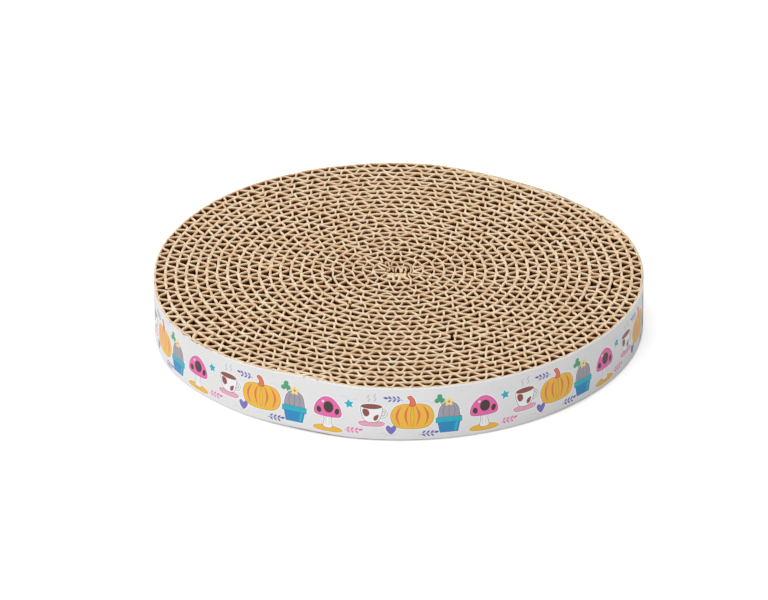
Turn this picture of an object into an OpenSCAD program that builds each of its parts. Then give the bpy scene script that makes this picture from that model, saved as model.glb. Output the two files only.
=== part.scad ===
// Round cardboard cat scratcher.
// Strips of single-face corrugated board are joined end to end and wound into a flat coil.
// Each strip is a smooth liner with a fluted sheet glued to its inner side, so the flutes stand on
// edge and their open ends make the scratching face. A printed paper band is wrapped round the coil.

/* [Coil] */
// Whole half turns of board in the coil, before its pressed outer end
half_turns = 45; // [6:1:46]
// Radius of the open hole that the first flutes leave at the centre
core_r = 2.2; // [1.6:0.1:8]
// Height of the coil, which is the width of each strip
pad_h = 28; // [12:0.5:80]
// Strips of board, joined end to end, that make up the coil
strips = 8; // [1:1:9]
// Compass bearing of the coil's outer end, seen from above
end_bearing = 33; // [0:1:359]

/* [Corrugated board] */
// Distance from one flute to the next
flute_pitch = 9; // [7.5:0.1:12]
// Height of the fluted sheet over its crests
flute_h = 4.55; // [3.4:0.05:5.6]
// Thickness of the fluted sheet
flute_t = 0.3; // [0.2:0.05:0.4]
// Thickness of the smooth liner sheet
liner_t = 0.35; // [0.35:0.05:0.6]
// Thickness of the glue line on each side of the flutes
glue_t = 0.05; // [0.05:0.01:0.1]
// Gap between two strips where they meet end to end
joint_gap = 1; // [0.4:0.1:3]
// How far the pressed outer end of the last strip lies below the full height of the board
end_crush = 2.8; // [0:0.1:3.2]
// Length of board past the last half turn, over which the outer end is pressed down
crush_len = 76; // [40:1:110]

/* [Printed band] */
// Thickness of the band's paper
band_t = 0.35; // [0.2:0.05:0.6]
// Clearance between the band and the coil
band_gap = 0.15; // [0.12:0.01:0.3]
// Length of the glued overlap where the band's ends meet
overlap_len = 14; // [6:1:40]
// Clearance for glue between the overlap's two layers
overlap_gap = 0.05; // [0.04:0.01:0.2]
// Bearing of the overlap from the outer end of the coil
seam_lag = 105; // [80:1:300]
// How far below the top of the coil the band's upper edge lies on its low side
band_drop = 1; // [0:0.1:1]
// Bearing of the band's low side
low_bearing = 150; // [0:1:359]

/* [Hidden] */
liner_colour = "burlywood";
fluting_colour = "tan";
band_colour = "whitesmoke";

// One flute in shares of its pitch, and how far each point lies from the liner in shares of the height.
// The tips that are glued down are flat.
tip_share = 0.07;
phase_shares = [tip_share, 0.5 - tip_share, 0.5 + tip_share, 1 - tip_share];
depth_shares = [0, 1, 1, 0];

// Radial growth of the coil in one turn, and the outer radius at which the liner starts.
growth = liner_t + flute_h + 2 * glue_t;
start_r = core_r + growth;

// The fluted sheet's middle line lies this far in from the liner's outer face at its tips.
crest_inset = liner_t + glue_t + flute_t / 2;
trough_inset = growth - glue_t - flute_t / 2;

// The coil is drawn as half circles whose centres alternate, so each runs smoothly into the next.
// Angles along the coil count in degrees from its inner end.
half_turn = 180;
full_turn = 360;
function half_index(a) = floor(a / half_turn);
function arc_centre(j) = [j % 2 == 0 ? 0 : growth / 2, 0];
function arc_r(j) = start_r + j * growth / 2;
function heading(a) = [cos(a), sin(a)];

// The last stretch of board turns on a tighter arc, which presses its end down. Its radius is a whole
// number of fine steps, so that its centre and its ends have short decimals and the arcs meet exactly.
radius_step = 0.01;
crush_angle = half_turns * half_turn;
last_r = arc_r(half_turns);
crush_bend = 2 * end_crush / pow(crush_len, 2);
crush_r = radius_step * round(1 / (1 / last_r + crush_bend) / radius_step);
crush_centre = arc_centre(half_turns) + (last_r - crush_r) * heading(crush_angle);

// Length of board from the inner end to an angle before the pressed end, and the angle that any length
// reaches.
function length_at(a) = PI / half_turn * (start_r * a + growth * a * a / (2 * full_turn));
round_len = length_at(crush_angle);
function angle_at(s) =
    s > round_len
        ? crush_angle + (s - round_len) / crush_r * half_turn / PI
        : full_turn / growth * (sqrt(start_r * start_r + growth * s / PI) - start_r);

// The coil holds whole flutes only, shared out between the strips.
flutes = floor((round_len + crush_len) / flute_pitch);
function joint_flute(i) = round(i * flutes / strips);
end_angle = angle_at(flutes * flute_pitch);

// A point at an angle along the coil, moved in from the liner's outer face.
function coil_point(a, inset) =
    a > crush_angle
        ? crush_centre + (crush_r - inset) * heading(a)
        : let (j = half_index(a)) arc_centre(j) + (arc_r(j) - inset) * heading(a);

// The same for the fluted sheet, which fills the room down to the turn inside it.
function bearing_of(p) = atan2(p.y, p.x);
function flute_point(a, depth) =
    let (
        crest = coil_point(a, crest_inset),
        j = min(half_index(a), half_turns),
        middle = arc_centre(j),
        trough = middle + (arc_r(j) - trough_inset) * heading(bearing_of(crest - middle))
    )
    crest + depth * (trough - crest);

// Middle line of some flutes, and of one strip's whole fluted sheet.
function flute_line(first, last) = [
    for (k = [first : last])
        for (q = [0 : len(phase_shares) - 1])
            flute_point(angle_at((k + phase_shares[q]) * flute_pitch), depth_shares[q])
];
function fluting_path(i) = flute_line(joint_flute(i - 1), joint_flute(i) - 1);

// Least gap of the wound fluting to itself, from every point of a flute to the flutes one turn inside it.
function line_gap(p, a, b) =
    let (along = (b - a) / norm(b - a), t = max(0, min(norm(b - a), (p - a) * along)))
    norm(p - a - t * along);
function flute_inside(k) =
    floor(length_at(angle_at(k * flute_pitch) - full_turn) / flute_pitch);
function gap_inside(k) =
    let (inside = flute_line(max(0, flute_inside(k) - 1), flute_inside(k) + 2))
    min([for (p = flute_line(k, k), n = [1 : len(inside) - 1]) line_gap(p, inside[n - 1], inside[n])]);
first_covered = ceil(length_at(full_turn) / flute_pitch);
self_gap = min([for (k = [first_covered : flutes - 1]) gap_inside(k)]) - flute_t;
echo(least_gap_of_the_fluting_to_itself = self_gap);

// A sheet on edge of an even thickness along a path, mitred at every bend.
function unit(v) = v / norm(v);
function side_of(v) = [-v.y, v.x];
function sheet_edge(path, offset) = [
    for (i = [0 : len(path) - 1])
        let (
            before = unit(path[max(i, 1)] - path[max(i, 1) - 1]),
            after = unit(path[min(i, len(path) - 2) + 1] - path[min(i, len(path) - 2)]),
            normal = unit(side_of(before) + side_of(after))
        )
        path[i] + offset / (normal * side_of(after)) * normal
];
function reversed(list) = [for (i = [len(list) - 1 : -1 : 0]) list[i]];
module sheet_on_edge(path, thickness, height) {
    linear_extrude(height)
        polygon(concat(sheet_edge(path, thickness / 2), reversed(sheet_edge(path, -thickness / 2))));
}

// The band follows the outermost turn and runs straight from the coil's end down to the turn below.
band_step = 2;
band_inset = -(band_gap + band_t / 2);
end_reach = norm(coil_point(end_angle, band_inset) - arc_centre(half_turns));
landing_r = arc_r(half_turns - 2) - band_inset;
landing_lag = end_reach > landing_r ? acos(landing_r / end_reach) : 0;
landing_angle = end_angle - full_turn + landing_lag;
seam_angle = end_angle - full_turn + seam_lag;
overlap_lift = band_t + overlap_gap;
overlap_angle = overlap_len / last_r * half_turn / PI;
function band_run(from, to, lift) = [
    for (k = [0 : ceil((to - from) / band_step)])
        coil_point(min(from + k * band_step, to), band_inset - lift)
];
band_path = concat(
    band_run(seam_angle + band_step / 2, end_angle, 0),
    band_run(landing_angle, seam_angle - band_step, 0),
    band_run(seam_angle, seam_angle + overlap_angle, overlap_lift)
);

// The part is turned so that the coil ends at its bearing, and its origin is the middle of its base.
coil_turn = end_bearing - end_angle;
function turned(p, t) = [p.x * cos(t) - p.y * sin(t), p.x * sin(t) + p.y * cos(t)];
outline = [for (p = sheet_edge(band_path, -band_t / 2)) turned(p, coil_turn)];
xs = [for (p = outline) p.x];
ys = [for (p = outline) p.y];
base_centre = [(min(xs) + max(xs)) / 2, (min(ys) + max(ys)) / 2];
outer_reach = max([for (p = outline) norm(p - base_centre)]);
module in_place() {
    translate(-base_centre) rotate(coil_turn) children();
}

// Part of a ring on edge, as thick as the liner, which starts at one angle and sweeps either way.
module liner_arc(centre, outer_r, start, sweep) {
    translate(centre) rotate(start % full_turn) rotate_extrude(angle = sweep, $fn = 96)
        translate([outer_r - liner_t, 0]) square([liner_t, pad_h]);
}

// Every arc of a liner starts at the half turn where it meets the next one.
module liner_strip(i) {
    from = angle_at(joint_flute(i - 1) * flute_pitch + joint_gap / 2);
    to = angle_at(joint_flute(i) * flute_pitch - joint_gap / 2);
    first = half_index(from);
    last = min(half_index(to), half_turns);
    color(liner_colour) in_place() {
        liner_arc(arc_centre(first), arc_r(first), (first + 1) * half_turn, from - (first + 1) * half_turn);
        for (j = [first + 1 : 1 : last - 1])
            liner_arc(arc_centre(j), arc_r(j), j * half_turn, half_turn);
        if (last == half_turns)
            liner_arc(crush_centre, crush_r, crush_angle, to - crush_angle);
        else
            liner_arc(arc_centre(last), arc_r(last), last * half_turn, to - last * half_turn);
    }
}

module fluting_strip(i) {
    color(fluting_colour) in_place()
        sheet_on_edge(fluting_path(i), flute_t, pad_h);
}

// The band leans a little. Its low side rests on the floor, and its high side is level with the coil's top.
band_h = pad_h - band_drop;
module printed_band() {
    tilt = asin(band_drop / (2 * outer_reach));
    low_axis = [-sin(low_bearing), cos(low_bearing), 0];
    color(band_colour) translate([0, 0, band_drop / 2]) rotate(a = tilt, v = low_axis)
        in_place() sheet_on_edge(band_path, band_t, band_h);
}

for (i = [1 : strips]) {
    liner_strip(i);
    fluting_strip(i);
}
printed_band();
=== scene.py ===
"""Looks of a round cardboard scratching pad: a coil of single-face board inside a printed paper band.

The board's sheets are built along the same coil as the CAD part, with rounded flutes, burred cut edges and
the dents of a real pad. The band is one mesh whose print is cut into its triangles.
"""

import math

import bpy
import numpy as np
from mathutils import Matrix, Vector
from mathutils.geometry import delaunay_2d_cdt


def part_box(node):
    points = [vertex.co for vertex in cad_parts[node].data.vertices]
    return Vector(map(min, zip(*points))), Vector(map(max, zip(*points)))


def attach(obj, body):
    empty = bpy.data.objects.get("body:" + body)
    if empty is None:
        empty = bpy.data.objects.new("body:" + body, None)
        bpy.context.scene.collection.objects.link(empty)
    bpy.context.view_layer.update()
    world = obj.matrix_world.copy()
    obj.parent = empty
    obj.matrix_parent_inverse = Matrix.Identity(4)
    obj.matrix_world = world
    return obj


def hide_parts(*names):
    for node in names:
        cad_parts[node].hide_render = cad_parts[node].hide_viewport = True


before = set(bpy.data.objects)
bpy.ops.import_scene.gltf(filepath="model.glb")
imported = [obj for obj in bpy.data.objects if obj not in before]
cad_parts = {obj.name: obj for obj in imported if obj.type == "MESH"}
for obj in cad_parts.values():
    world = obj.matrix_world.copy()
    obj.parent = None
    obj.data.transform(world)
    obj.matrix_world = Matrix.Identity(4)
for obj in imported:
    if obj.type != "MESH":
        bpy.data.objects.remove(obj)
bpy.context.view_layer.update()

# Sizes of the board and the coil, as in the CAD part, in metres.
MM = 0.001
HALF_TURNS = 45
CORE_R = 2.2 * MM
FLUTE_PITCH = 9 * MM
FLUTE_H = 4.55 * MM
FLUTE_T = 0.3 * MM
LINER_T = 0.35 * MM
GLUE_T = 0.05 * MM
JOINT_GAP = 1 * MM
END_CRUSH = 2.8 * MM
CRUSH_LEN = 76 * MM
END_BEARING = math.radians(33)
STRIPS = sum(name.startswith("fluting_strip_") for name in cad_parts)
PAD_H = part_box("fluting_strip_1")[1].z

# Sizes of the band, as in the CAD part.
BAND_T = 0.35 * MM
BAND_GAP = 0.15 * MM
BAND_DROP = 1 * MM
BAND_H = PAD_H - BAND_DROP
LOW_BEARING = math.radians(150)
SEAM_LAG = math.radians(105)
OVERLAP_LEN = 14 * MM
OVERLAP_GAP = 0.05 * MM


# The coil: half circles whose centres alternate, then a tighter arc that presses the outer end down.

HALF, FULL = math.pi, 2 * math.pi
GROWTH = LINER_T + FLUTE_H + 2 * GLUE_T
START_R = CORE_R + GROWTH
LAST_R = START_R + HALF_TURNS * GROWTH / 2
CRUSH_ANGLE = HALF_TURNS * HALF
CRUSH_R = 1 / (1 / LAST_R + 2 * END_CRUSH / CRUSH_LEN**2)
LAST_CENTRE = GROWTH / 2 * (HALF_TURNS % 2)
CRUSH_CENTRE = LAST_CENTRE + (LAST_R - CRUSH_R) * math.cos(CRUSH_ANGLE)
ROUND_LEN = START_R * CRUSH_ANGLE + GROWTH * CRUSH_ANGLE**2 / (2 * FULL)
FLUTES = int((ROUND_LEN + CRUSH_LEN) / FLUTE_PITCH)


def angle_at(s):
    """The angle along the coil, in radians from its inner end, that a length of board reaches."""
    s = np.asarray(s, float)
    spiral = FULL / GROWTH * (np.sqrt(START_R**2 + GROWTH * np.maximum(s, 0) / math.pi) - START_R)
    return np.where(s > ROUND_LEN, CRUSH_ANGLE + (s - ROUND_LEN) / CRUSH_R, spiral)


def half_circle(a):
    """Centre and outer radius of the half circle at an angle."""
    j = np.minimum(np.floor(a / HALF), HALF_TURNS)
    return GROWTH / 2 * (j % 2), START_R + j * GROWTH / 2


def coil_point(a, inset):
    """Points at angles along the coil, moved in from the liner's outer face."""
    centre, radius = half_circle(a)
    pressed = a > CRUSH_ANGLE
    centre = np.where(pressed, CRUSH_CENTRE, centre)
    radius = np.where(pressed, CRUSH_R, radius) - inset
    return np.stack([centre + radius * np.cos(a), radius * np.sin(a)], -1)


def flute_point(a, depth):
    """Points of the fluted sheet: depth 0 is at the liner, and depth 1 at the turn inside."""
    crest = coil_point(a, LINER_T + GLUE_T + FLUTE_T / 2)
    centre, radius = half_circle(a)
    out = crest - np.stack([centre, np.zeros_like(centre)], -1)
    reach = np.linalg.norm(out, axis=-1)
    trough_reach = radius - GROWTH + GLUE_T + FLUTE_T / 2
    share = 1 + (trough_reach / reach - 1) * depth
    return crest + out * (share - 1)[..., None]


END_ANGLE = float(angle_at(FLUTES * FLUTE_PITCH))
BAND_INSET = -(BAND_GAP + BAND_T / 2)
# Past the coil's end the band runs straight down to the turn below, and lands there.
BAND_END = coil_point(np.array(END_ANGLE), BAND_INSET)
BELOW_R = LAST_R - GROWTH
BAND_END_REACH = math.dist(BAND_END, (LAST_CENTRE, 0))
LANDING_ANGLE = END_ANGLE - FULL + math.acos(min(1, (BELOW_R - BAND_INSET) / BAND_END_REACH))
LANDING = coil_point(np.array(LANDING_ANGLE), BAND_INSET)
# The band is drawn in small steps. At its seam it has the CAD band's longer ones, in which the lap rises.
BAND_STEP = math.radians(0.75)
SEAM_STEP = math.radians(2)
STRAIGHT_POINTS = 16


def band_route(lapped=True):
    """The band's middle line: round the outer turn, down to the turn below, and lapped over its start."""
    seam = END_ANGLE - FULL + SEAM_LAG

    def run(start, stop, lift):
        count = max(2, int((stop - start) / BAND_STEP))
        return coil_point(np.linspace(start, stop, count), BAND_INSET - lift)

    runs = [
        run(seam + SEAM_STEP / 2, END_ANGLE, 0),
        np.linspace(BAND_END, LANDING, STRAIGHT_POINTS)[1:-1],
        run(LANDING_ANGLE, seam - SEAM_STEP, 0),
    ]
    if lapped:
        runs.append(run(seam, seam + OVERLAP_LEN / LAST_R, BAND_T + OVERLAP_GAP))
    return np.concatenate(runs)


def turned(points):
    """Points in the coil's own axes, turned so that its outer end has its bearing."""
    c, s = math.cos(END_BEARING - END_ANGLE), math.sin(END_BEARING - END_ANGLE)
    return points @ np.array([[c, s], [-s, c]])


BAND_LINE = turned(band_route())
BASE_CENTRE = (BAND_LINE.min(0) + BAND_LINE.max(0)) / 2


def reach_and_bearing(points):
    """How far points lie from the pad's middle, and in which direction."""
    return np.linalg.norm(points, axis=1), np.arctan2(points[:, 1], points[:, 0])


BAND_REACH, BAND_BEARING = reach_and_bearing(turned(band_route(lapped=False)) - BASE_CENTRE)


def rim_r(bearing):
    """Distance from the pad's middle to the outermost liner's face."""
    return np.interp(bearing, BAND_BEARING, BAND_REACH, period=FULL) + BAND_INSET


# What makes this pad a used, hand-made thing: a soft wobble, dents in its outline and a crushed core.

# How much longer or shorter than its field's length each wave may be.
WAVE_SIZES = (0.75, 1.35)
WAVE_GAIN = 0.7


def waves(points, length, seed, count=7):
    """A smooth random field of waves of about one length, mostly between -1 and 1."""
    rng = np.random.default_rng(seed)
    total = np.zeros(len(points))
    for _ in range(count):
        bearing, phase = rng.uniform(0, FULL, 2)
        size = length * rng.uniform(*WAVE_SIZES)
        along = points @ np.array([math.cos(bearing), math.sin(bearing)])
        total += np.sin(along * FULL / size + phase)
    return total / math.sqrt(count) * WAVE_GAIN


def smooth(t):
    """Eases from 0 at 0 to 1 at 1."""
    t = np.clip(t, 0, 1)
    return t * t * (3 - 2 * t)


def window(bearing, middle, half_width):
    """1 at a bearing, easing to 0 at half_width to either side."""
    away = np.abs((bearing - middle + math.pi) % FULL - math.pi)
    return smooth(1 - away / half_width)


# Dents, or bulges with a depth below zero: bearing, half the width, depth, and how far in as a share of the
# radius.
DENTS = [
    (math.radians(middle), math.radians(half_width), depth * MM, reach)
    for middle, half_width, depth, reach in [
        (60, 24, 2.6, 0.048),
        (205, 25, -1.6, 0.3),
        (245, 16, 1.6, 0.06),
        (318, 30, 0.8, 0.4),
        (150, 20, 0.5, 0.5),
    ]
]


def dent_at(bearing):
    """How far in the dents move the rim."""
    return sum(depth * window(bearing, middle, half_width) for middle, half_width, depth, _ in DENTS)


# The coil wobbles in long waves and in short ones: length, how far, first seed and count.
WOBBLES = [(46 * MM, 0.5 * MM, 10, 7), (11 * MM, 0.3 * MM, 20, 12)]
# Shares of the radius: where the wobble is gone, and over how much it fades.
STILL_RIM = 0.985
STILL_EASE = 0.12
# The core is drawn in and squashed from front to back.
CORE_R_SETTLED = 14 * MM
CORE_PULL = 2.5 * MM
CORE_SQUASH = 0.36
# Least radii that a move is shared out over.
LEAST_R = 1 * MM
LEAST_CORE_R = 2 * MM


def settle(points):
    """Moves points in the coil's axes to where they lie in the pad."""
    p = turned(points) - BASE_CENTRE
    r, bearing = reach_and_bearing(p)
    share = r / rim_r(bearing)
    move = np.zeros(len(p))
    for middle, half_width, depth, reach in DENTS:
        move -= depth * window(bearing, middle, half_width) * smooth((share - 1 + reach) / reach)
    p = p * (1 + move / np.maximum(r, LEAST_R))[:, None]
    inside = smooth((STILL_RIM - share) / STILL_EASE)
    for axis in (0, 1):
        for length, most, seed, count in WOBBLES:
            p[:, axis] += inside * waves(p, length, seed + axis, count) * most
    near = 1 - smooth(r / CORE_R_SETTLED)
    p *= (1 - CORE_PULL * near / np.maximum(r, LEAST_CORE_R))[:, None]
    p[:, 1] *= 1 - CORE_SQUASH * near
    return p


# Places where the cut edges are crushed: x, y, half length and half width in millimetres, and how much. It
# ends where the square of the distance, counted in those halves, is SPOT_END.
SPOT_END = 1.5
CRUSHED_SPOTS = [
    (-0.3, -6.2, 5, 3.2, 0.9),
    (8.5, 1.5, 4, 3.5, 0.5),
    (105, 37, 5, 4, 0.8),
    (-62, 8, 5, 5, 0.5),
    (38, -61, 6, 4, 0.45),
    (-24, -30, 5, 4, 0.45),
    (57, 66, 7, 4, 0.5),
]
# Crushed stretches of the rim: middle, half the width and how much. The first is also brushed out over the
# band.
FRINGE = (math.radians(213), math.radians(20))
CRUSHED_RIMS = [
    (*FRINGE, 0.5),
    (math.radians(245), math.radians(18), 1.0),
    (math.radians(52), math.radians(34), 0.85),
]
# How far in the rim's crushing, fringe and pressing reach, and over how much of that they ease off.
RIM_WIDE = 5 * MM
RIM_EASE = 2 * MM
# How far the fringe is pushed out, and how deep that starts.
FRINGE_PUSH = 1.1 * MM
FRINGE_DEPTH = 2.4 * MM
# Where the outermost sheets are pressed flat and lie lower.
PRESSED = (math.radians(56), math.radians(30))
PRESSED_DEPTH = 0.5 * MM
# The cut edges are a little finer towards the core, and the liner's more so.
FINE_SHARE = 0.16
LINER_FINE_SHARE = 0.24
FINE_R = 58 * MM
# Where the rim's top leans in: its bearing, half its width and how far, and from which share of the radius.
LEAN_IN = (math.radians(247), math.radians(17), 1.6 * MM)
LEAN_FROM = 0.93
LEAN_EASE = 0.06


def leaning(points):
    """How far the top of the pad leans in at points near its rim."""
    r, bearing = reach_and_bearing(points)
    middle, half_width, most = LEAN_IN
    share = r / rim_r(bearing)
    return most * window(bearing, middle, half_width) * smooth((share - LEAN_FROM) / LEAN_EASE)


def crushing(p):
    """How far the cut edges are crushed at points in the pad, from 0 to 1."""
    total = np.zeros(len(p))
    for x, y, along, across, amount in CRUSHED_SPOTS:
        away = ((p[:, 0] - x * MM) / (along * MM)) ** 2 + ((p[:, 1] - y * MM) / (across * MM)) ** 2
        total += amount * smooth(SPOT_END - away)
    for middle, half_width, amount in CRUSHED_RIMS:
        total += amount * on_rim(p, middle, half_width)
    return np.clip(total, 0, 1)


def finer(p, share):
    """Width of the cut edges at points in the pad, as a share of their width near the rim."""
    return 1 - share * (1 - smooth(np.linalg.norm(p, axis=1) / FINE_R))


def room_to_band(p):
    """Distance from points in the pad to the band's inner face."""
    r, bearing = reach_and_bearing(p)
    return rim_r(bearing) + BAND_GAP - dent_at(bearing) - r


def on_rim(p, middle, half_width):
    """1 at points on the rim at a bearing, easing to 0 further in and to either side."""
    r, bearing = reach_and_bearing(p)
    return smooth((r - rim_r(bearing) + RIM_WIDE) / RIM_EASE) * np.sqrt(window(bearing, middle, half_width))


# Sheets of paper on edge.


def directions(path):
    along = np.gradient(path, axis=0)
    return along / np.linalg.norm(along, axis=1)[:, None]


def normals_of(path):
    along = directions(path)
    return np.stack([-along[:, 1], along[:, 0]], -1)


def ribbon_mesh(name, runs):
    """A mesh of closed sheets on edge, each along a path of its own.

    Each level, from the base up, is its height, half its thickness, its shift sideways and its push from the
    pad's centre. The mesh keeps how deep each point lies below the nearer cut edge.
    """
    points, faces, depths = [], [], []
    for path, levels in runs:
        side = normals_of(path)
        outward = path / np.maximum(np.linalg.norm(path, axis=1), LEAST_R)[:, None]
        low, high = levels[0][0], levels[-1][0]
        loops = []
        for sign, order in ((1, levels), (-1, levels[::-1])):
            for z, half, shift, push in order:
                xy = path + side * (sign * half + shift)[:, None] + outward * push[:, None]
                loops.append(np.column_stack([xy, z, np.minimum(z - low, high - z)]))
        grid = np.stack(loops, 1)
        n, m = grid.shape[:2]
        index = len(points) + np.arange(n * m).reshape(n, m)
        here, there = index[:-1], index[1:]
        quads = np.stack([here, np.roll(here, -1, 1), np.roll(there, -1, 1), there], -1).reshape(-1, 4)
        faces += quads.tolist() + [index[0, ::-1].tolist(), index[-1].tolist()]
        points += grid[..., :3].reshape(-1, 3).tolist()
        depths += grid[..., 3].ravel().tolist()
    mesh = bpy.data.meshes.new(name)
    mesh.from_pydata(points, [], faces)
    mesh.attributes.new("Depth", "FLOAT", "POINT").data.foreach_set("value", depths)
    mesh.validate()
    return mesh


# A cut edge is rounded: widest a little below the face, and back to the sheet's own thickness under that.
BURR_DEPTH = 2.1 * MM
BURR_BELLY = 0.85 * MM
BURR_SHOULDER = 0.22 * MM
SHOULDER_SHARE = 0.86
FLAT_SHARE = 0.58
BELLY_SHIFT = 0.6
# How uneven its height is, at the base and at the top: length of the waves and how far they go.
BASE_LIFT = (60 * MM, 0.12 * MM)
LONG_DIP = (34 * MM, 0.2 * MM)
SHORT_DIP = (3 * MM, 0.14 * MM)
# Lengths of the waves in which it is rough and in which it leans.
ROUGH_LENGTH = 2.4 * MM
LEAN_LENGTH = 5 * MM
# How far a crushed edge is lowered, and how much that varies with its roughness.
CRUSH_DROP = 0.2 * MM
CRUSH_DROP_ROUGH = 0.15 * MM
# How far an edge leans, and how much more where it is crushed.
LEAN = 0.12 * MM
LEAN_CRUSHED = 0.5 * MM
# How much wider roughness and crushing make it, as shares of its width.
SPREAD_ROUGH = 0.22
SPREAD_CRUSHED = 0.9
# How much the fringe's push varies with its roughness, and the room that every edge leaves to the band.
PUSH_ROUGH = 0.25
BAND_ROOM = 0.03 * MM


def uneven(path, size, seed):
    """How far a cut edge lies off its height, by the length of its waves and how far they go."""
    length, most = size
    return np.abs(waves(path, length, seed)) * most


def sheet_levels(path, thickness, burr, recess, seed, crushed=None):
    """Levels of one sheet: straight walls, with a spread, rough cut edge at each face."""
    half = np.full(len(path), thickness / 2)
    flat = np.zeros(len(path))
    crushed = crushing(path) if crushed is None else crushed
    rough = waves(path, ROUGH_LENGTH, seed + 4)
    low = uneven(path, BASE_LIFT, seed + 3)
    dip = uneven(path, LONG_DIP, seed) + uneven(path, SHORT_DIP, seed + 1)
    dip += crushed * (CRUSH_DROP + CRUSH_DROP_ROUGH * rough) + on_rim(path, *PRESSED) * PRESSED_DEPTH
    high = PAD_H - recess - dip
    lean = waves(path, LEAN_LENGTH, seed + 2) * (LEAN + LEAN_CRUSHED * crushed)
    spread = burr / 2 * finer(path, FINE_SHARE) * (1 + SPREAD_ROUGH * rough + SPREAD_CRUSHED * crushed)
    spread = np.minimum(spread, np.maximum(room_to_band(path) - BAND_ROOM, thickness / 2))
    inward = leaning(path)
    push = on_rim(path, *FRINGE) * FRINGE_PUSH * (1 - PUSH_ROUGH + PUSH_ROUGH * rough)
    return [
        (low, (half + spread) / 3, flat, flat),
        (low + BURR_BELLY, (half + spread) / 2, flat, flat),
        (low + BURR_DEPTH, half, flat, flat),
        (high - FRINGE_DEPTH, half, flat, -inward),
        (high - BURR_BELLY, spread, lean * BELLY_SHIFT, push * BELLY_SHIFT - inward),
        (high - BURR_SHOULDER, spread * SHOULDER_SHARE, lean, push - inward),
        (high, spread * FLAT_SHARE, lean, push - inward),
    ]


# Angles in degrees from which an edge between faces is drawn sharp.
BOARD_SHARP = 65
BAND_SHARP = 30


def in_scene(name, data):
    """A new object in the scene."""
    made = bpy.data.objects.new(name, data)
    bpy.context.scene.collection.objects.link(made)
    return made


def add_piece(name, mesh, material, node, sharp):
    mesh.materials.append(material)
    mesh.shade_smooth()
    mesh.set_sharp_from_angle(angle=math.radians(sharp))
    piece = in_scene(name, mesh)
    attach(piece, "root")
    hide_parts(node)


# Nodes.

NOISE_ROUGHNESS = 0.55


class Nodes:
    """A short way to make and link the nodes of a material or a world."""

    def __init__(self, owner):
        self.owner = owner
        owner.use_nodes = True
        self.tree = owner.node_tree
        self.shader = self.tree.nodes.get("Principled BSDF")

    def add(self, kind, settings=(), **inputs):
        node = self.tree.nodes.new(kind)
        for key, value in dict(settings).items():
            setattr(node, key, value)
        return self.fill(node, **inputs)

    def fill(self, node, **inputs):
        """Sets or links a node's inputs, by their names or by their numbers as i0, i1 and so on."""
        for key, value in inputs.items():
            numbered = key[0] == "i" and key[1:].isdigit()
            socket = node.inputs[int(key[1:]) if numbered else key.replace("_", " ")]
            if isinstance(value, bpy.types.NodeSocket):
                self.tree.links.new(value, socket)
            else:
                socket.default_value = value
        return node

    def math(self, operation, a, b):
        return self.add("ShaderNodeMath", {"operation": operation}, i0=a, i1=b).outputs[0]

    def noise(self, where, scale, detail=3.0):
        inputs = {"Vector": where, "Scale": scale, "Detail": detail, "Roughness": NOISE_ROUGHNESS}
        return self.add("ShaderNodeTexNoise", **inputs).outputs[0]

    def ramp(self, value, low, high):
        """0 at or below low, 1 at or above high."""
        inputs = {"Value": value, "From_Min": low, "From_Max": high}
        return self.add("ShaderNodeMapRange", {"interpolation_type": "SMOOTHSTEP"}, **inputs).outputs[0]

    def mix(self, factor, a, b, blend="MIX"):
        """A mix of two colours, by the numbers of a mix node's colour sockets."""
        settings = {"data_type": "RGBA", "blend_type": blend}
        return self.add("ShaderNodeMix", settings, i0=factor, i6=a, i7=b).outputs[2]

    def bump(self, height, strength, distance):
        node = self.add("ShaderNodeBump", Strength=strength, Distance=distance, Height=height)
        self.fill(self.shader, Normal=node.outputs[0])


# Scales of the noise in board: clouds, fibres drawn out upwards, specks, and patches along the cut edge.
CLOUD_SCALE = 70
FIBRE_SCALE = 2600
FIBRE_DRAW = 0.12
SPECK_SCALE = 1500
PATCH_SCALE = 320
# Where a cut edge turns from dull to bright, by its patch with a share of the cloud.
PATCH_CLOUD = 0.4
BRIGHT_PATCH = (0.58, 0.82)
# Depths below a face between which painted shade darkens the wall, and between which the pale edge ends,
# raggedly.
PAINTED_SHADE_DEPTHS = (0.38 * MM, 1.42 * MM)
PALE_DEPTHS = (0.18 * MM, 0.68 * MM)
RAGGED = 0.5 * MM
# How much clouds darken the wall and fibres make it paler, and between which values of their noise.
CLOUD_RANGE, CLOUD_SHARE = (0.35, 0.65), 0.3
FIBRE_RANGE, FIBRE_SHARE = (0.5, 0.8), 0.08


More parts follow.
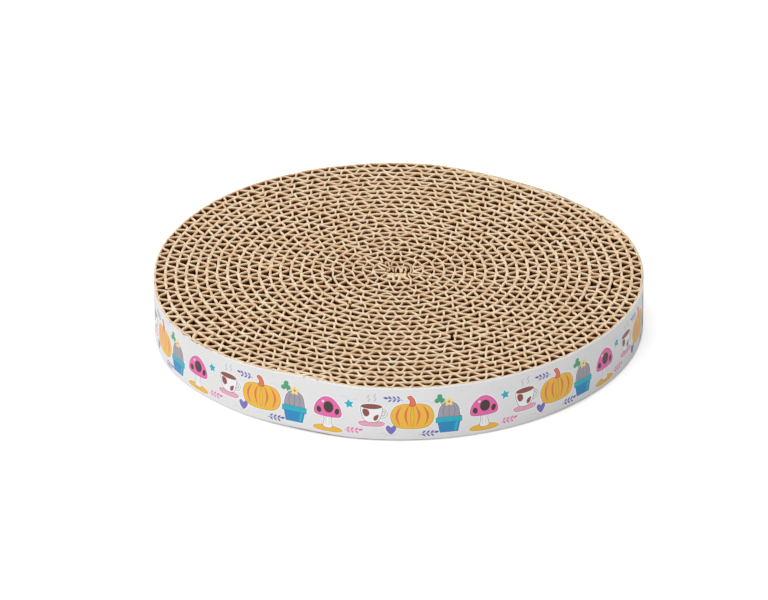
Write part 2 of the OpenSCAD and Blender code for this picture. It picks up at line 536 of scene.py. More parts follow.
def board_material(name, *colours):
    """Kraft paper: ragged cut edges at both faces, dull to bright, and walls darkened from there down by
    painted shade.
    """
    dull, bright, wall, deep = ((*colour, 1) for colour in colours)
    n = Nodes(bpy.data.materials.new(name))
    where = n.add("ShaderNodeTexCoord").outputs["Object"]
    depth = n.add("ShaderNodeAttribute", {"attribute_name": "Depth"}).outputs["Fac"]
    drawn = n.add("ShaderNodeMapping", Vector=where, Scale=(1, 1, FIBRE_DRAW)).outputs[0]
    cloud = n.noise(where, CLOUD_SCALE)
    fibre = n.noise(drawn, FIBRE_SCALE, 4)
    speck = n.noise(where, SPECK_SCALE, 2)
    patch = n.noise(where, PATCH_SCALE, 2)
    ragged = n.math("ADD", depth, n.math("MULTIPLY", n.math("SUBTRACT", speck, 0.5), RAGGED))
    brighter = n.math("ADD", patch, n.math("MULTIPLY", cloud, PATCH_CLOUD))
    edge = n.mix(n.ramp(brighter, *BRIGHT_PATCH), dull, bright)
    # Painted shade: the wall's colour turns to the deep colour with depth below the cut edge, where shade
    # falls in the cells.
    colour = n.mix(n.ramp(depth, *PAINTED_SHADE_DEPTHS), wall, deep)
    colour = n.mix(n.math("MULTIPLY", n.ramp(cloud, *CLOUD_RANGE), CLOUD_SHARE), colour, deep)
    colour = n.mix(n.math("MULTIPLY", n.ramp(fibre, *FIBRE_RANGE), FIBRE_SHARE), colour, edge)
    colour = n.mix(n.ramp(ragged, *PALE_DEPTHS), edge, colour)
    n.fill(n.shader, Base_Color=colour, Roughness=0.92, Specular_IOR_Level=0.2)
    n.bump(fibre, 0.5, 0.05 * MM)
    return n.owner


# The coil's sheets.

# Points to a flute, and the liner's steps and bow.
FLUTE_STEPS = 12
LINER_STEP = 1.8 * MM
LINER_BOW = 0.22 * MM
# The first lengths of liner and fluting are folded up in the core, so the even coil starts after them.
LINER_START = 50 * MM
FLUTING_START = 49 * MM
TIP_FLATNESS = 0.35
# How much the flutes' shift and slant vary, and how many of them are squashed to what share of their height.
SHIFT_SPREAD = 0.05
SLANT_SPREAD = 0.09
SQUASHED_SHARE = 0.04
SQUASH = (0.72, 0.9)
# Seeds of a strip's flutes and of its sheets' cut edges, to which its number is added.
FLUTE_SEED = 100
LINER_SEED = 300
FLUTING_SEED = 400
# First seeds of the cut edges in the core, and seeds of the tail's.
CORE_LINER_SEED = 309
CORE_FLUTING_SEED = 421
TAIL_SEEDS = (308, 411)


def strip_ends(i):
    """Lengths along the board at which strip i starts and ends."""
    return [round(k * FLUTES / STRIPS) * FLUTE_PITCH for k in (i - 1, i)]


def flute_wave(phase):
    """Depth of the fluted sheet over one pitch: flatter tips and straighter flanks than a sine."""
    wave = np.cos(FULL * phase)
    return 0.5 - 0.5 * ((1 + TIP_FLATNESS) * wave - TIP_FLATNESS * wave**3)


def fluting_path(i):
    """The middle line of strip i's fluted sheet, with uneven flutes."""
    start, stop = strip_ends(i)
    start = max(start + JOINT_GAP / 2, FLUTING_START)
    s = np.arange(start, stop - JOINT_GAP / 2, FLUTE_PITCH / FLUTE_STEPS)
    rng = np.random.default_rng(FLUTE_SEED + i)
    flute = np.floor(s / FLUTE_PITCH).astype(int)
    count = flute.max() + 2
    shift = rng.normal(0, SHIFT_SPREAD, count)
    slant = rng.normal(0, SLANT_SPREAD, count)
    squash = np.where(rng.random(count) < SQUASHED_SHARE, rng.uniform(*SQUASH, count), 1)
    phase = s / FLUTE_PITCH - flute
    eased = phase + slant[flute] * np.sin(FULL * phase) ** 2 / 2
    bend = shift[flute] * np.sin(math.pi * phase) ** 2
    return flute_point(angle_at(s + bend * FLUTE_PITCH), flute_wave(eased) * squash[flute])


def liner_path(i):
    """The middle line of strip i's liner, bowed a little between the flutes."""
    start, stop = strip_ends(i)
    s = np.arange(max(start + JOINT_GAP / 2, LINER_START), stop - JOINT_GAP / 2, LINER_STEP)
    bow = LINER_BOW * (0.5 - 0.5 * np.cos(FULL * s / FLUTE_PITCH))
    return coil_point(angle_at(s), LINER_T / 2 + bow)


def spline(a, b, c, d, t):
    """Points from b to c on a smooth curve through all four."""
    return 0.5 * (2 * b + (c - a) * t + (2 * a - 5 * b + 4 * c - d) * t**2 + (3 * b - a - 3 * c + d) * t**3)


def open_curve(points, step):
    """A smooth open curve through points in millimetres, in steps of about one length in metres."""
    p = np.array(points, float) * MM
    p = np.concatenate([[2 * p[0] - p[1]], p, [2 * p[-1] - p[-2]]])
    pieces = []
    for a, b, c, d in zip(p[:-3], p[1:-2], p[2:-1], p[3:]):
        count = max(2, int(np.linalg.norm(c - b) / step))
        pieces.append(spline(a, b, c, d, (np.arange(count) / count)[:, None]))
    return np.concatenate(pieces + [p[-2:-1]])


# The crushed start of the board in the core, in millimetres: a row of arches, the two eyes that the rolled
# inner end leaves, a small fold beside them, and tight folds in front of them.
ARCHES = [
    (-6.5, 6.9), (-6.2, 8.2), (-5.4, 8.9), (-4.7, 8.2), (-4.6, 6.4), (-4.1, 5.5), (-3.6, 5.8), (-3.3, 7),
    (-3.1, 8.7), (-1.9, 9.5), (-0.6, 8.6), (-0.4, 6.4), (0, 5.4), (1, 5), (1.9, 5.4), (2.3, 6.4),
    (2.6, 7.6), (3.8, 8.1), (5.1, 6.8), (5.7, 4.6), (5.9, 2.2), (5.9, 0), (5.5, -1.8), (4.5, -2.2),
]
EYES = [
    (-1.3, -0.1), (-1.35, 1.6), (-1.1, 3.2), (-0.2, 3.9), (0.65, 3.2), (0.8, 1.6), (0.8, 0.2), (1.2, -0.5),
    (1.65, 0.2), (1.6, 1.6), (1.8, 3.2), (2.6, 4), (3.45, 3.2), (3.6, 1.6), (3.4, 0), (2.9, -0.6),
]
SIDE_FOLD = [
    (-5.6, 1.9), (-5, 0.9), (-4.5, 1.6), (-4.2, 3.2), (-3.4, 3.8), (-2.7, 3), (-2.5, 1.6), (-2.3, 0.5),
]
CORE_LINER = [
    (6.3, -2.9), (6.9, -0.6), (7, 1.8), (6.8, 4.2), (6, 6.6), (4.3, 8.6), (2, 9.2), (-0.6, 9.9),
    (-3.2, 10.2), (-5.6, 10.1), (-6.9, 9.6),
]
INNER_LINER = [(-3.3, 5), (-1.2, 5.1), (0.8, 4.6), (2.6, 4.8), (3.9, 4.3), (4.7, 3.2)]
# The tight folds: how many, from where, how far apart, from front to back, and how they slant and bow.
FOLDS = 8
FOLD_START = -4.9
FOLD_PITCH = 1.12
FOLD_FRONT = (-5.4, -4.2)
FOLD_BACK = (-1.7, -0.8)
FOLD_SLANT = (0.1, 0.6)
FOLD_BOW = (-0.2, 0.2)
FOLD_SEED = 7
# Widths of the cut edges.
LINER_BURR = 1.32 * MM
CORE_LINER_BURR = 0.65 * MM
TAIL_BURR = 0.6 * MM
FLUTING_BURR = 1.02 * MM
ARCH_BURR = 0.8 * MM
EYE_BURR = 1 * MM
FOLD_BURR = 1.9 * MM
# How far below the top they lie.
LINER_RECESS = 0.12 * MM
SIDE_FOLD_RECESS = 0.2 * MM
FOLD_RECESS = (0.35 * MM, 0.75 * MM)
# Steps in which the core's sheets are drawn.
CORE_LINER_STEP = 1 * MM
CORE_FLUTING_STEP = 0.35 * MM
# Waves of the tail's fluting, and the share of its run at which the tail starts.
TAIL_WAVES = 2.5
TAIL_START = 0.012
TAIL_POINTS = 60


def tight_folds():
    """The board's very start, pressed flat in folds side by side: each fold's points and how low it lies."""
    rng = np.random.default_rng(FOLD_SEED)
    folds = []
    for k in range(FOLDS):
        x = FOLD_START + FOLD_PITCH * k
        slant, bow = rng.uniform(*FOLD_SLANT), rng.uniform(*FOLD_BOW)
        front, back = rng.uniform(*FOLD_FRONT), rng.uniform(*FOLD_BACK)
        points = [(x - slant, front), (x + bow, (front + back) / 2), (x + slant, back)]
        folds.append((points, rng.uniform(*FOLD_RECESS)))
    return folds


def tail_paths():
    """The pressed end of the board past its last whole flute: the liner and the fluting under it."""
    run = LANDING - BAND_END
    inward = np.array([-run[1], run[0]]) / np.linalg.norm(run)
    t = np.linspace(TAIL_START, 1, TAIL_POINTS)[:, None]
    top = BAND_END + run * t + inward * (LINER_T / 2 - BAND_INSET) - [LAST_CENTRE, 0]
    reach = np.linalg.norm(top, axis=1)
    room = reach - BELOW_R
    kept = room > LINER_T + FLUTE_T
    top, reach, room = top[kept], reach[kept], room[kept]
    wave = 0.5 + 0.5 * np.cos(np.linspace(0, TAIL_WAVES * FULL, len(top)))
    under = BELOW_R + FLUTE_T / 2 + (room - LINER_T / 2 - FLUTE_T) * wave
    return [[LAST_CENTRE, 0] + top * (r / reach)[:, None] for r in (reach, under)]


# A run of sheet is its path, thickness, burr, recess and seed, and how crushed it is if that is given.


def core_liners():
    """Runs of the board's start in the core: the liner round it, and the one behind its eyes."""
    runs = []
    for seed, points in enumerate((CORE_LINER, INNER_LINER), CORE_LINER_SEED):
        runs.append((open_curve(points, CORE_LINER_STEP), LINER_T, CORE_LINER_BURR, LINER_RECESS, seed))
    return runs


def core_flutings():
    """Runs of the board's start in the core: its fluting's arches, eyes and folds, crushed no further."""
    pieces = [(ARCHES, ARCH_BURR, 0), (EYES, EYE_BURR, 0), (SIDE_FOLD, ARCH_BURR, SIDE_FOLD_RECESS)]
    pieces += [(points, FOLD_BURR, recess) for points, recess in tight_folds()]
    runs = []
    for seed, (points, burr, recess) in enumerate(pieces, CORE_FLUTING_SEED):
        path = open_curve(points, CORE_FLUTING_STEP)
        runs.append((path, FLUTE_T, burr, recess, seed, np.zeros(len(path))))
    return runs


def add_sheets(name, runs, material, node):
    """One piece from its runs."""
    mesh = ribbon_mesh(name, [(run[0], sheet_levels(*run)) for run in runs])
    add_piece(name, mesh, material, node, BOARD_SHARP)


# The colours: dull and bright cut edge, wall, and deep, the painted shade low in the cells.
liner_material = board_material(
    "kraft_liner", (0.82, 0.605, 0.385), (0.95, 0.79, 0.565), (0.8, 0.4, 0.14), (0.21, 0.07, 0.034)
)
fluting_material = board_material(
    "kraft_fluting", (0.85, 0.62, 0.39), (0.98, 0.82, 0.585), (1, 0.52, 0.18), (0.22, 0.073, 0.035)
)
for i in range(1, STRIPS + 1):
    path = settle(liner_path(i))
    burr = LINER_BURR * finer(path, LINER_FINE_SHARE)
    liners = [(path, LINER_T, burr, LINER_RECESS, LINER_SEED + i)]
    flutings = [(settle(fluting_path(i)), FLUTE_T, FLUTING_BURR, 0, FLUTING_SEED + i)]
    if i == 1:
        liners += core_liners()
        flutings += core_flutings()
    if i == STRIPS:
        tail_liner, tail_fluting = (settle(points) for points in tail_paths())
        liners.append((tail_liner, LINER_T, TAIL_BURR, LINER_RECESS, TAIL_SEEDS[0]))
        flutings.append((tail_fluting, FLUTE_T, TAIL_BURR, LINER_RECESS, TAIL_SEEDS[1]))
    add_sheets(f"liner_sheet_{i}", liners, liner_material, f"liner_strip_{i}")
    add_sheets(f"fluting_sheet_{i}", flutings, fluting_material, f"fluting_strip_{i}")


# The print: shapes in millimetres on one repeat of the band, each with its ink, the last on top.

INKS = {
    "paper": (0.8, 0.8, 0.81),
    "gold": (0.87, 0.5, 0.045),
    "gold_line": (0.55, 0.25, 0.02),
    "coral": (0.8, 0.17, 0.08),
    "pink": (0.86, 0.13, 0.42),
    "pink_line": (0.42, 0.05, 0.18),
    "charcoal": (0.05, 0.033, 0.025),
    "grey": (0.36, 0.34, 0.39),
    "grey_line": (0.13, 0.12, 0.15),
    "cream": (0.9, 0.74, 0.3),
    "blue": (0.015, 0.25, 0.55),
    "blue_line": (0.01, 0.11, 0.28),
    "teal": (0.01, 0.45, 0.58),
    "brown": (0.27, 0.075, 0.055),
    "brown_line": (0.09, 0.03, 0.02),
    "blush": (0.82, 0.38, 0.5),
    "violet": (0.19, 0.17, 0.52),
    "green": (0.07, 0.37, 0.18),
    "indigo": (0.1, 0.09, 0.42),
    "faint": (0.56, 0.66, 0.74),
    "white": (0.9, 0.9, 0.91),
}


def ellipse(x, y, rx, ry, tilt=0, count=26):
    t = np.arange(count) / count * FULL
    c, s = math.cos(math.radians(tilt)), math.sin(math.radians(tilt))
    u, v = rx * np.cos(t), ry * np.sin(t)
    return np.stack([x + u * c - v * s, y + u * s + v * c], -1)


def rounded(points, steps=5):
    """A closed smooth curve through points."""
    p = np.array(points, float)
    a, b, c, d = (np.roll(p, -k, 0)[:, None] for k in (-1, 0, 1, 2))
    t = (np.arange(steps) / steps)[None, :, None]
    return spline(a, b, c, d, t).reshape(-1, 2)


def turn_of(shape):
    """Twice the shape's area: above zero where it runs anticlockwise."""
    x, y = shape.T
    return float(np.sum(x * np.roll(y, -1) - np.roll(x, -1) * y))


# At a sharp corner a grown shape's point moves out no further than this allows.
LEAST_MITRE = 0.3
BLADE_STEPS = 4


def grown(shape, by):
    """The shape with every edge moved out."""
    ahead = np.roll(shape, -1, 0) - shape
    ahead /= np.linalg.norm(ahead, axis=1)[:, None]
    along = ahead + np.roll(ahead, 1, 0)
    along /= np.maximum(np.linalg.norm(along, axis=1), LEAST_MITRE)[:, None]
    out = np.stack([along[:, 1], -along[:, 0]], -1) * np.sign(turn_of(shape))
    return shape + out * by


def stroke(points, width):
    """A thin line with a pointed start and end."""
    p = np.array(points, float)
    along, side = directions(p) * width / 2, normals_of(p) * width / 2
    return np.concatenate([p + side, [p[-1] + along[-1]], (p - side)[::-1], [p[0] - along[0]]])


def blade(points, width):
    """A line that is widest in its middle and ends in points."""
    p = rounded(points + points[::-1][1:-1], BLADE_STEPS)[: BLADE_STEPS * (len(points) - 1) + 1]
    side = normals_of(p) * (width / 2 * np.sin(np.linspace(0, math.pi, len(p)))[:, None])
    return np.concatenate([p + side, (p - side)[-2:0:-1]])


OUTLINE = 0.26


def outlined(ink, line, shape, width=OUTLINE):
    """A shape in one ink on a slightly larger one in the ink of its outline."""
    return [(line, grown(shape, width)), (ink, shape)]


def petals(ink, x, y, reach, size, bearings, count):
    """Ellipses that point away from one spot, by their bearings in degrees."""
    layers = []
    for bearing in bearings:
        t = math.radians(bearing)
        spot = x + reach * math.cos(t), y + reach * math.sin(t)
        layers.append((ink, ellipse(*spot, *size, bearing, count)))
    return layers


def pumpkin(x, y):
    """A striped gold pumpkin, wider than it is high."""
    top = [(-10, 0), (-8, 5), (-3, 6.6), (0, 5.8), (3, 6.6), (8, 5), (10, 0)]
    body = rounded(top + [(7.5, -5), (0, -6.2), (-7.5, -5)])
    layers = outlined("gold", "gold_line", body + [x, y])
    for side in (-1, 1):
        for end, bulge in ((1.6, 3.1), (5, 7.2)):
            rib = [(end, 5.6), (bulge * 0.93, 2.6), (bulge, -0.6), (end * 1.15, -4.8)]
            layers.append(("coral", blade([(side * across, up) for across, up in rib], 1.15) + [x, y]))
    stalk = rounded([(-1.2, 5.8), (-0.9, 8.2), (-2.2, 10.2), (-0.6, 10.8), (1, 8.6), (1.3, 5.9)], 4)
    layers += outlined("coral", "brown_line", stalk + [x, y], 0.22)
    for side in (-1, 1):
        seam = [(side * 0.2, 5), (side * 0.8, 1.5), (side * 0.8, -2), (side * 0.3, -5.2)]
        layers.append(("gold_line", stroke(np.array(seam) + [x, y], 0.2)))
    return layers


def toadstool(x, y):
    """A pink toadstool with charcoal spots, on a gold mound."""
    mound = rounded([(-7.2, 0), (-5, 1.5), (0, 2.1), (5, 1.5), (7.2, 0), (4, -0.9), (-4, -0.9)])
    stem = rounded([(-2, 1.2), (-1.6, 5), (-1.9, 8.5), (1.9, 8.5), (1.7, 5), (2.2, 1.2)])
    dome = [(-6.6, 8), (-6, 12), (-3.2, 15.4), (0, 16.6), (3.2, 15.4), (6, 12), (6.6, 8)]
    cap = rounded(dome + [(3.5, 6.9), (-3.5, 6.9)])
    layers = outlined("gold", "gold_line", mound + [x, y], 0.22)
    layers += outlined("white", "grey_line", stem + [x, y], 0.2)
    layers += outlined("pink", "pink_line", cap + [x, y])
    large = ellipse(x + 0.4, y + 11.6, 2.5, 2.9)
    left, right = ellipse(x - 4.4, y + 9.6, 1.2, 1.6, 12, 18), ellipse(x + 4.7, y + 9.9, 1.1, 1.7, -14, 18)
    layers += [("charcoal", spot) for spot in (large, left, right)]
    layers.append(("white", ellipse(x - 2.4, y + 14, 0.7, 0.5, 30, 14)))
    for across in (-0.7, 0.8):
        gill = [(across, 2.2), (across * 1.1, 4.2), (across, 6.2)]
        layers.append(("grey", stroke(np.array(gill) + [x, y], 0.16)))
    return layers


def cactus(x, y):
    """A round grey cactus with a cream flower, in a blue pot with a teal rim."""
    body = rounded([(-4.4, 6), (-4.9, 10), (-3.6, 14), (0, 16), (3.6, 14), (4.9, 10), (4.4, 6)])
    pot = np.array([(-5.4, 6.2), (-4.2, 0.3), (4.2, 0.3), (5.4, 6.2)])
    rim = np.array([(-6.1, 5.4), (-6.1, 7.9), (6.1, 7.9), (6.1, 5.4)])
    layers = outlined("grey", "grey_line", body + [x, y])
    for across in (-2.6, 0, 2.6):
        rib = [(across * 0.9, 8.2), (across * 1.15, 11), (across * 0.8, 13.8)]
        layers.append(("grey_line", stroke(np.array(rib) + [x, y], 0.2)))
    layers += petals("cream", x, y + 16, 1.2, (1.15, 0.8), range(90, 90 + 360, 72), 14)
    layers.append(("coral", ellipse(x, y + 16, 0.6, 0.6, 0, 12)))
    layers += outlined("blue", "blue_line", pot + [x, y])
    layers += outlined("teal", "blue_line", rim + [x, y])
    layers.append(("teal", rounded(np.array([(2.4, 1), (3.6, 1), (4.3, 4.8), (3.2, 4.8)]) + [x, y], 3)))
    return layers


def teacup(x, y):
    """A white cup with brown spots, on a blush saucer, under a curl of steam."""
    saucer = rounded([(-6, 1.2), (-3, 1.9), (3, 1.9), (6, 1.2), (4, -0.3), (-4, -0.3)])
    cup = rounded([(-4.8, 9.8), (-4.4, 5), (-2.4, 1.9), (2.4, 1.9), (4.4, 5), (4.8, 9.8), (0, 9.2)], 4)
    layers = outlined("white", "brown_line", ellipse(x + 4.9, y + 6.3, 2.4, 2.3), 0.2)
    layers += outlined("paper", "brown_line", ellipse(x + 5.1, y + 6.3, 1.25, 1.2, 0, 18), 0.2)
    layers += outlined("blush", "pink_line", saucer + [x, y], 0.2)
    layers += outlined("white", "brown_line", cup + [x, y], 0.2)
    large = [(-4.1, 8.3), (-1.6, 8), (-1, 5.6), (-2.6, 4.4), (-3.9, 5.8)]
    small = [(1.2, 4.6), (3.4, 5.6), (2.6, 2.9), (1.1, 2.6)]
    for spot in (large, small):
        layers.append(("brown", rounded(np.array(spot) + [x, y], 3)))
    layers += outlined("brown", "brown_line", ellipse(x, y + 9.8, 4.7, 1.1), 0.2)
    for across, rise in ((-1.6, 12.2), (1.4, 12.8)):
        curl = np.array([(0, 0), (0.8, 1.2), (-0.2, 2.4), (0.6, 3.6)]) + [across, rise]
        layers.append(("grey", stroke(curl + [x, y], 0.3)))
    return layers


def star(x, y, r=2.5, tilt=10):
    """A teal star with five points."""
    t = np.radians(np.arange(10) * 36 + 90 + tilt)
    reach = np.where(np.arange(10) % 2, r * 0.52, r)
    return [("teal", np.stack([x + reach * np.cos(t), y + reach * np.sin(t)], -1))]


def heart(x, y, size=2.5):
    """A violet heart."""
    right = [(0.85, -0.1), (0.95, 0.6), (0.5, 0.95)]
    shape = [(0, -1), *right, (0, 0.55), *((-across, up) for across, up in right[::-1])]
    return [("violet", rounded(np.array(shape) * size + [x, y], 4))]


def clover(x, y, r=1.35):
    """A green clover leaf on its stalk."""
    stalk = stroke([(x, y), (x + 0.5, y - 1.7), (x + 1.3, y - 2.9)], 0.4)
    return [("green", stalk)] + petals("green", x, y, r, (r, r * 0.92), (90, 210, 330), 18)


def sprig(x, y, ink, way=1):
    """A small twig with leaves in pairs."""
    layers = [(ink, stroke([(x - 4 * way, y - 0.5), (x - way, y - 0.1), (x + 3 * way, y + 0.4)], 0.22))]
    for along in (-2.4, -0.4, 1.6):
        middle = x + along * way + 0.4 * way
        for up in (-1, 1):
            layers.append((ink, ellipse(middle, y + up * 0.85, 0.95, 0.4, up * way * 40, 12)))
    layers.append((ink, ellipse(x + 3.9 * way, y + 0.55, 1.1, 0.55, 10 * way, 12)))
    return layers


def swash(x, y, wide, ink="faint"):
    """A thin line that ripples and runs out."""
    t = np.linspace(0, 1, 12)
    return [(ink, stroke(np.stack([x + wide * t, y + 0.9 * np.sin(t * 7) * (1 - t * 0.5)], -1), 0.16))]


# Width of the pale halo, and the least area, counted twice, of a shape that has one.
HALO = 0.5
HALO_LEAST = 12


def repeat_layers():
    """Everything printed on one repeat, each figure inside its pale halo."""
    figures = repeat_figures()
    halos = [("white", grown(shape, HALO)) for _, shape in figures if abs(turn_of(shape)) > HALO_LEAST]
    return halos + figures


def repeat_figures():
    """The figures of one repeat, inside which each has to end with its halo."""
    return (
        swash(16, 20.5, 9)
        + swash(34.5, 2.6, 8, "blush")
        + swash(55, 19.6, 7)
        + toadstool(10, 2.6)
        + star(20.6, 17.6)
        + sprig(22.2, 4.1, "pink")
        + teacup(31.2, 7.4)
        + heart(40.3, 5.2)
        + sprig(41.8, 21.3, "indigo", -1)
        + pumpkin(50.2, 12)
        + clover(63, 20.4)
        + sprig(57.6, 3, "indigo")
        + cactus(67.4, 2.8)
    )


# In millimetres: the height of a painted highlight, a pale strip along the band's top edge, and the grid
# into which the paper is cut under the print.
PAINTED_TOP_HIGHLIGHT = 0.7
GRID_STEP = 3
GRID_ROWS = 9
# Points of the print that lie closer than this are one.
SAME_POINT = 1e-4


def print_repeat(length):
    """Points of one repeat, in metres along and up the band, its triangles and the ink of each."""
    high = BAND_H / MM
    columns = np.linspace(0, length, max(2, round(length / GRID_STEP)) + 1)
    rows = np.append(np.linspace(0, high, GRID_ROWS), high - PAINTED_TOP_HIGHLIGHT)
    points = [(u, v) for u in columns for v in rows]
    last, top = (len(columns) - 1) * len(rows), len(rows) - 2
    faces, inks = [[0, last, last + top, top]], ["paper"]
    # A painted highlight: a strip of white ink along the band's top edge.
    top_highlight = np.array([(0, high - PAINTED_TOP_HIGHLIGHT), (length, high - PAINTED_TOP_HIGHLIGHT), (length, high), (0, high)])
    for ink, shape in [("white", top_highlight)] + repeat_layers():
        if turn_of(shape) < 0:
            shape = shape[::-1]
        faces.append(list(range(len(points), len(points) + len(shape))))
        inks.append(ink)
        points += shape.tolist()
    found = delaunay_2d_cdt([Vector(q) for q in points], [], faces, 0, SAME_POINT)
    places, triangles, owners = found[0], found[2], found[5]
    printed = [inks[max(owner)] if owner else "paper" for owner in owners]
    return np.array([tuple(q) for q in places]) * MM, np.array(triangles), printed


# The print is repeated round the band, and its points are moved to whole cells.
REPEATS = 10
CELL = 0.002 * MM
# The band's map: the repeats in columns and rows, and above them a strip for the inside and
# for the edges of both skins, each at its share of the strip.
MAP_COLUMNS = 2
MAP_ROWS = 5
MAP_EDGE = 0.004
PLAIN_SHARE = 0.06
PLAIN_INSIDE = (0.9, 0.5)
PLAIN_EDGES = (0.35, 0.1)
# The outer skin stays this far inside the CAD band's.
SKIN_INSET = 0.03 * MM
# The upper edge stays below the CAD band's, and the lower one follows only part of its lean.
BAND_TRIM = 0.2 * MM
LOW_EDGE_LEAN = 0.3
# The lower edge lifts and the upper one dips: the waves' length, seed and height, and how far up they fade.
EDGE_LIFT = (70 * MM, 77, 0.4 * MM, 7 * MM)
EDGE_DIP = (24 * MM, 78, 0.2 * MM, 6 * MM)


def dented_band():
    """The band's middle line in the pad, and how far along it each point lies."""
    line = BAND_LINE - BASE_CENTRE
    r, bearing = reach_and_bearing(line)
    for middle, half_width, depth, _ in DENTS:
        line = line * (1 - depth * window(bearing, middle, half_width) / r)[:, None]
    steps = np.linalg.norm(np.diff(line, axis=0), axis=1)
    return line, np.concatenate([[0], np.cumsum(steps)])


def flat_band(length):
    """The band laid flat, with repeats of one length: its points, its triangles and the ink of each.

    Points lie on whole cells, a whole number of them to a repeat, so that each repeat meets the next.
    """
    flat, triangles, inks = print_repeat(length / MM)
    across = round(length / CELL)
    cells = np.round(flat * across / length).astype(np.int64)
    count = len(cells)
    cells = np.concatenate([cells + [across * k, 0] for k in range(REPEATS)])
    places, back = np.unique(cells, axis=0, return_inverse=True)
    triangles = back.reshape(-1)[np.concatenate([triangles + count * k for k in range(REPEATS)])]
    inks = inks * REPEATS
    whole = [k for k, corners in enumerate(triangles.tolist()) if len(set(corners)) == 3]
    return places * (length / across), triangles[whole], [inks[k] for k in whole]


def wrapped(flat, line, travelled):
    """Points of the flat band wrapped along its line: first the outer skin's, then the inner one's."""
    u, v = flat.T
    side = normals_of(line)
    middle = np.stack([np.interp(u, travelled, line[:, k]) for k in (0, 1)], -1)
    out = -np.stack([np.interp(u, travelled, side[:, k]) for k in (0, 1)], -1)
    out /= np.linalg.norm(out, axis=1)[:, None]
    lean = BAND_DROP / 2 * (1 - np.cos(np.arctan2(middle[:, 1], middle[:, 0]) - LOW_BEARING))
    z = v * (1 - BAND_TRIM / BAND_H) + lean * (LOW_EDGE_LEAN + (1 - LOW_EDGE_LEAN) * v / BAND_H)
    length, seed, most, fade = EDGE_LIFT
    z += np.maximum(waves(middle, length, seed), 0) * most * smooth(1 - v / fade)
    length, seed, most, fade = EDGE_DIP
    z -= np.abs(waves(middle, length, seed)) * most * smooth((v - BAND_H) / fade + 1)
    middle = middle - out * (leaning(middle) * v / BAND_H)[:, None]
    skins = (BAND_T / 2 - SKIN_INSET, -BAND_T / 2)
    return np.concatenate([np.column_stack([middle + out * skin, z]) for skin in skins])


def band_map(flat, triangles, corners, sizes, length):
    """Where each corner of the band's faces lies on its map."""
    edges = len(sizes) - 2 * len(triangles)
    first = np.minimum((flat[triangles, 0].mean(1) / length).astype(int), REPEATS - 1)
    repeat = np.repeat(np.concatenate([first, first + REPEATS, np.full(edges, 2 * REPEATS)]), sizes)
    u, v = flat[corners % len(flat)].T
    print_u, print_v = (u - repeat * length) / length, v / BAND_H
    column, row = repeat // MAP_ROWS, repeat % MAP_ROWS
    printed = [
        (column + MAP_EDGE + (1 - 2 * MAP_EDGE) * print_u) / MAP_COLUMNS,
        (row + MAP_EDGE + (1 - 2 * MAP_EDGE) * print_v) * (1 - PLAIN_SHARE) / MAP_ROWS,
    ]
    low, high = PLAIN_INSIDE
    edge = np.where(corners < len(flat), *PLAIN_EDGES)
    share = np.where(repeat < 2 * REPEATS, low + (high - low) * print_v, edge)
    plain = [u / (length * REPEATS), 1 - PLAIN_SHARE * share]
    return np.where(repeat < REPEATS, printed, plain).T


def band_mesh():
    """The band with its print, wrapped along its route, as one closed sheet."""
    line, travelled = dented_band()
    length = travelled[-1] / REPEATS
    flat, triangles, inks = flat_band(length)
    n = len(flat)
    edges = dict.fromkeys((t[k], t[(k + 1) % 3]) for t in triangles.tolist() for k in range(3))
    rim = [(p, q) for p, q in edges if (q, p) not in edges]
    faces = triangles.tolist() + (triangles[:, ::-1] + n).tolist() + [[q, p, p + n, q + n] for p, q in rim]
    mesh = bpy.data.meshes.new("band_sheet")
    mesh.from_pydata(wrapped(flat, line, travelled).tolist(), [], faces)
    sizes = [len(face) for face in faces]
    colours = [INKS[ink] for ink in inks] + [INKS["paper"]] * len(inks) + [INKS["white"]] * len(rim)
    values = np.repeat(np.array([(*colour, 1) for colour in colours], np.float32), sizes, axis=0)
    mesh.color_attributes.new("Ink", "FLOAT_COLOR", "CORNER").data.foreach_set("color", values.ravel())
    corners = np.concatenate(faces)
    places = band_map(flat, triangles, corners, sizes, length)
    mesh.uv_layers.new(name="OFBake").data.foreach_set("uv", places.astype(np.float32).ravel())
    return mesh


# Scales of the noise in printed paper, and what mottle and cloud add to its shade and to its roughness.
MOTTLE_SCALE = 900
PRINT_CLOUD_SCALE = 40
GRAIN_SCALE = 500
SHADE, SHADE_MOTTLE, SHADE_CLOUD = 0.91, 0.1, 0.08
SHEEN, SHEEN_MOTTLE = 0.3, 0.12


def band_material():
    """Smooth white paper, printed: the ink comes from the mesh, with a little mottle and sheen."""
    n = Nodes(bpy.data.materials.new("printed_paper"))
    where = n.add("ShaderNodeTexCoord").outputs["Object"]
    ink = n.add("ShaderNodeVertexColor", {"layer_name": "Ink"}).outputs[0]
    mottle = n.noise(where, MOTTLE_SCALE, 4)
    cloud = n.noise(where, PRINT_CLOUD_SCALE, 2)
    shade = n.math("ADD", n.math("MULTIPLY", mottle, SHADE_MOTTLE), n.math("MULTIPLY", cloud, SHADE_CLOUD))
    shade = n.math("ADD", shade, SHADE)
    tint = n.add("ShaderNodeCombineColor", i0=shade, i1=shade, i2=shade).outputs[0]
    colour = n.mix(1.0, ink, tint, "MULTIPLY")
    sheen = n.math("ADD", n.math("MULTIPLY", mottle, SHEEN_MOTTLE), SHEEN)
    n.fill(n.shader, Base_Color=colour, Roughness=sheen, Specular_IOR_Level=0.5)
    n.bump(n.noise(where, GRAIN_SCALE, 5), 0.12, 0.05 * MM)
    return n.owner


add_piece("band_sheet", band_mesh(), band_material(), "printed_band", BAND_SHARP)


# The floor, the light and the camera, which looks down at 28 degrees from 25 radii away.

RADIUS = 117.5 * MM
PHOTO_WIDE = 768
ELEVATION = math.radians(27.92)
DISTANCE = 24.9 * RADIUS
FOCAL_PIXELS = 6099
TOP_RIGHT_OF_CENTRE = 14.7
TOP_ABOVE_CENTRE = 29.3
ROLL = math.radians(-0.16)
SENSOR = 36
CLIP = (0.1, 100)
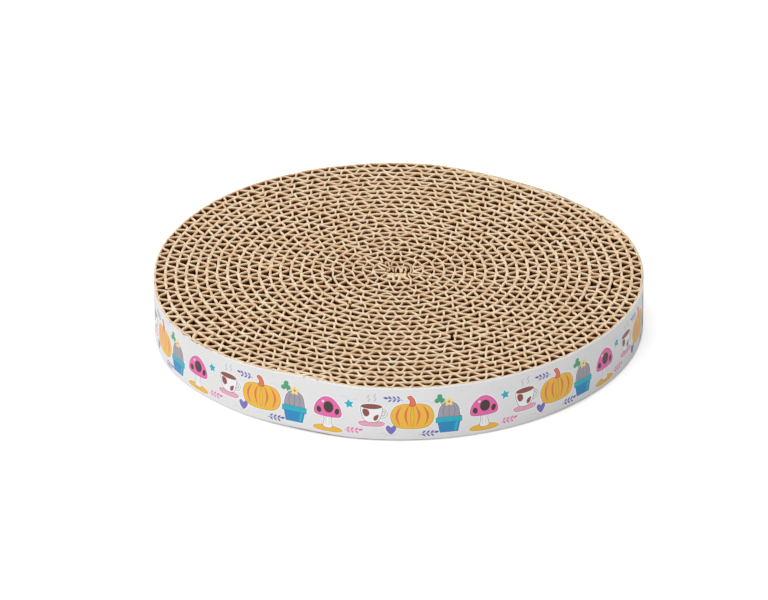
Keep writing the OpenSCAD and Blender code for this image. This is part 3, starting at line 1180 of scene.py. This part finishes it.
# The floor glows for the camera alone, from just inside the pad's edge outwards.
FLOOR_HALF = 6.0
FLOOR_DROP = 0.0002
FLOOR_GLOW = 0.46
GLOW_START = (RADIUS - 2.5 * MM, RADIUS + 0.5 * MM)
WORLD_LIGHT = 0.43
# The lamps' places, widths and heights, and powers.
LAMPS = {
    "key": ((-1.3, 1.2, 1.9), (1.8, 1.5), 21),
    "top": ((-0.4, 0.1, 2.7), (1.4, 1.4), 19),
    "front": ((-0.9, -2.1, 0.5), (1.3, 0.6), 15.5),
}


def make_floor():
    """A pale floor."""
    mesh = bpy.data.meshes.new("floor")
    corners = [(x * FLOOR_HALF, y * FLOOR_HALF, 0) for x, y in ((-1, -1), (1, -1), (1, 1), (-1, 1))]
    mesh.from_pydata(corners, [], [(0, 1, 2, 3)])
    n = Nodes(bpy.data.materials.new("pale_floor"))
    seen = n.add("ShaderNodeLightPath").outputs["Is Camera Ray"]
    where = n.add("ShaderNodeTexCoord").outputs["Object"]
    reach = n.add("ShaderNodeVectorMath", {"operation": "LENGTH"}, i0=where).outputs["Value"]
    glow = n.math("MULTIPLY", n.math("MULTIPLY", seen, n.ramp(reach, *GLOW_START)), FLOOR_GLOW)
    n.fill(n.shader, Base_Color=(0.92, 0.92, 0.92, 1), Roughness=0.9)
    n.fill(n.shader, Emission_Color=(1, 1, 1, 1), Emission_Strength=glow)
    mesh.materials.append(n.owner)
    floor = in_scene("floor", mesh)
    floor.location.z = -FLOOR_DROP


def make_world(strength):
    """A world that lights the pad with a strength, and is white where it is seen or reflected."""
    world = bpy.data.worlds.new("studio")
    bpy.context.scene.world = world
    n = Nodes(world)
    rays = n.add("ShaderNodeLightPath").outputs
    seen = rays["Is Camera Ray"]
    for name in ("Is Glossy Ray", "Is Transmission Ray"):
        seen = n.math("MAXIMUM", seen, rays[name])
    level = n.add("ShaderNodeMapRange", Value=seen, To_Min=strength, To_Max=1).outputs[0]
    n.fill(n.tree.nodes["Background"], Color=(1, 1, 1, 1), Strength=level)


def add_lamp(name, place, size, power):
    """A soft box that faces the pad."""
    lamp = bpy.data.lights.new(name, "AREA")
    lamp.shape = "RECTANGLE"
    lamp.size, lamp.size_y = size
    lamp.energy = power
    holder = in_scene(name, lamp)
    holder.location = place
    holder.rotation_euler = (-Vector(place)).to_track_quat("-Z", "Y").to_euler()


def make_camera():
    """The photograph's camera."""
    back = Vector((0, -math.cos(ELEVATION), math.sin(ELEVATION)))
    right = Vector((1, 0, 0))
    up = back.cross(right)
    per_pixel = DISTANCE / FOCAL_PIXELS
    target = Vector((0, 0, PAD_H)) - (right * TOP_RIGHT_OF_CENTRE + up * TOP_ABOVE_CENTRE) * per_pixel
    data = bpy.data.cameras.new("camera")
    data.sensor_width = SENSOR
    data.lens = FOCAL_PIXELS * SENSOR / PHOTO_WIDE
    data.clip_start, data.clip_end = CLIP
    camera = in_scene("camera", data)
    camera.location = target + back * DISTANCE
    camera.rotation_euler = (math.pi / 2 - ELEVATION, 0, 0)
    camera.rotation_euler.rotate_axis("Z", ROLL)
    bpy.context.scene.camera = camera


make_floor()
make_world(WORLD_LIGHT)
for name, lamp in LAMPS.items():
    add_lamp(name, *lamp)
make_camera()
bpy.context.scene.view_settings.view_transform = "Standard"
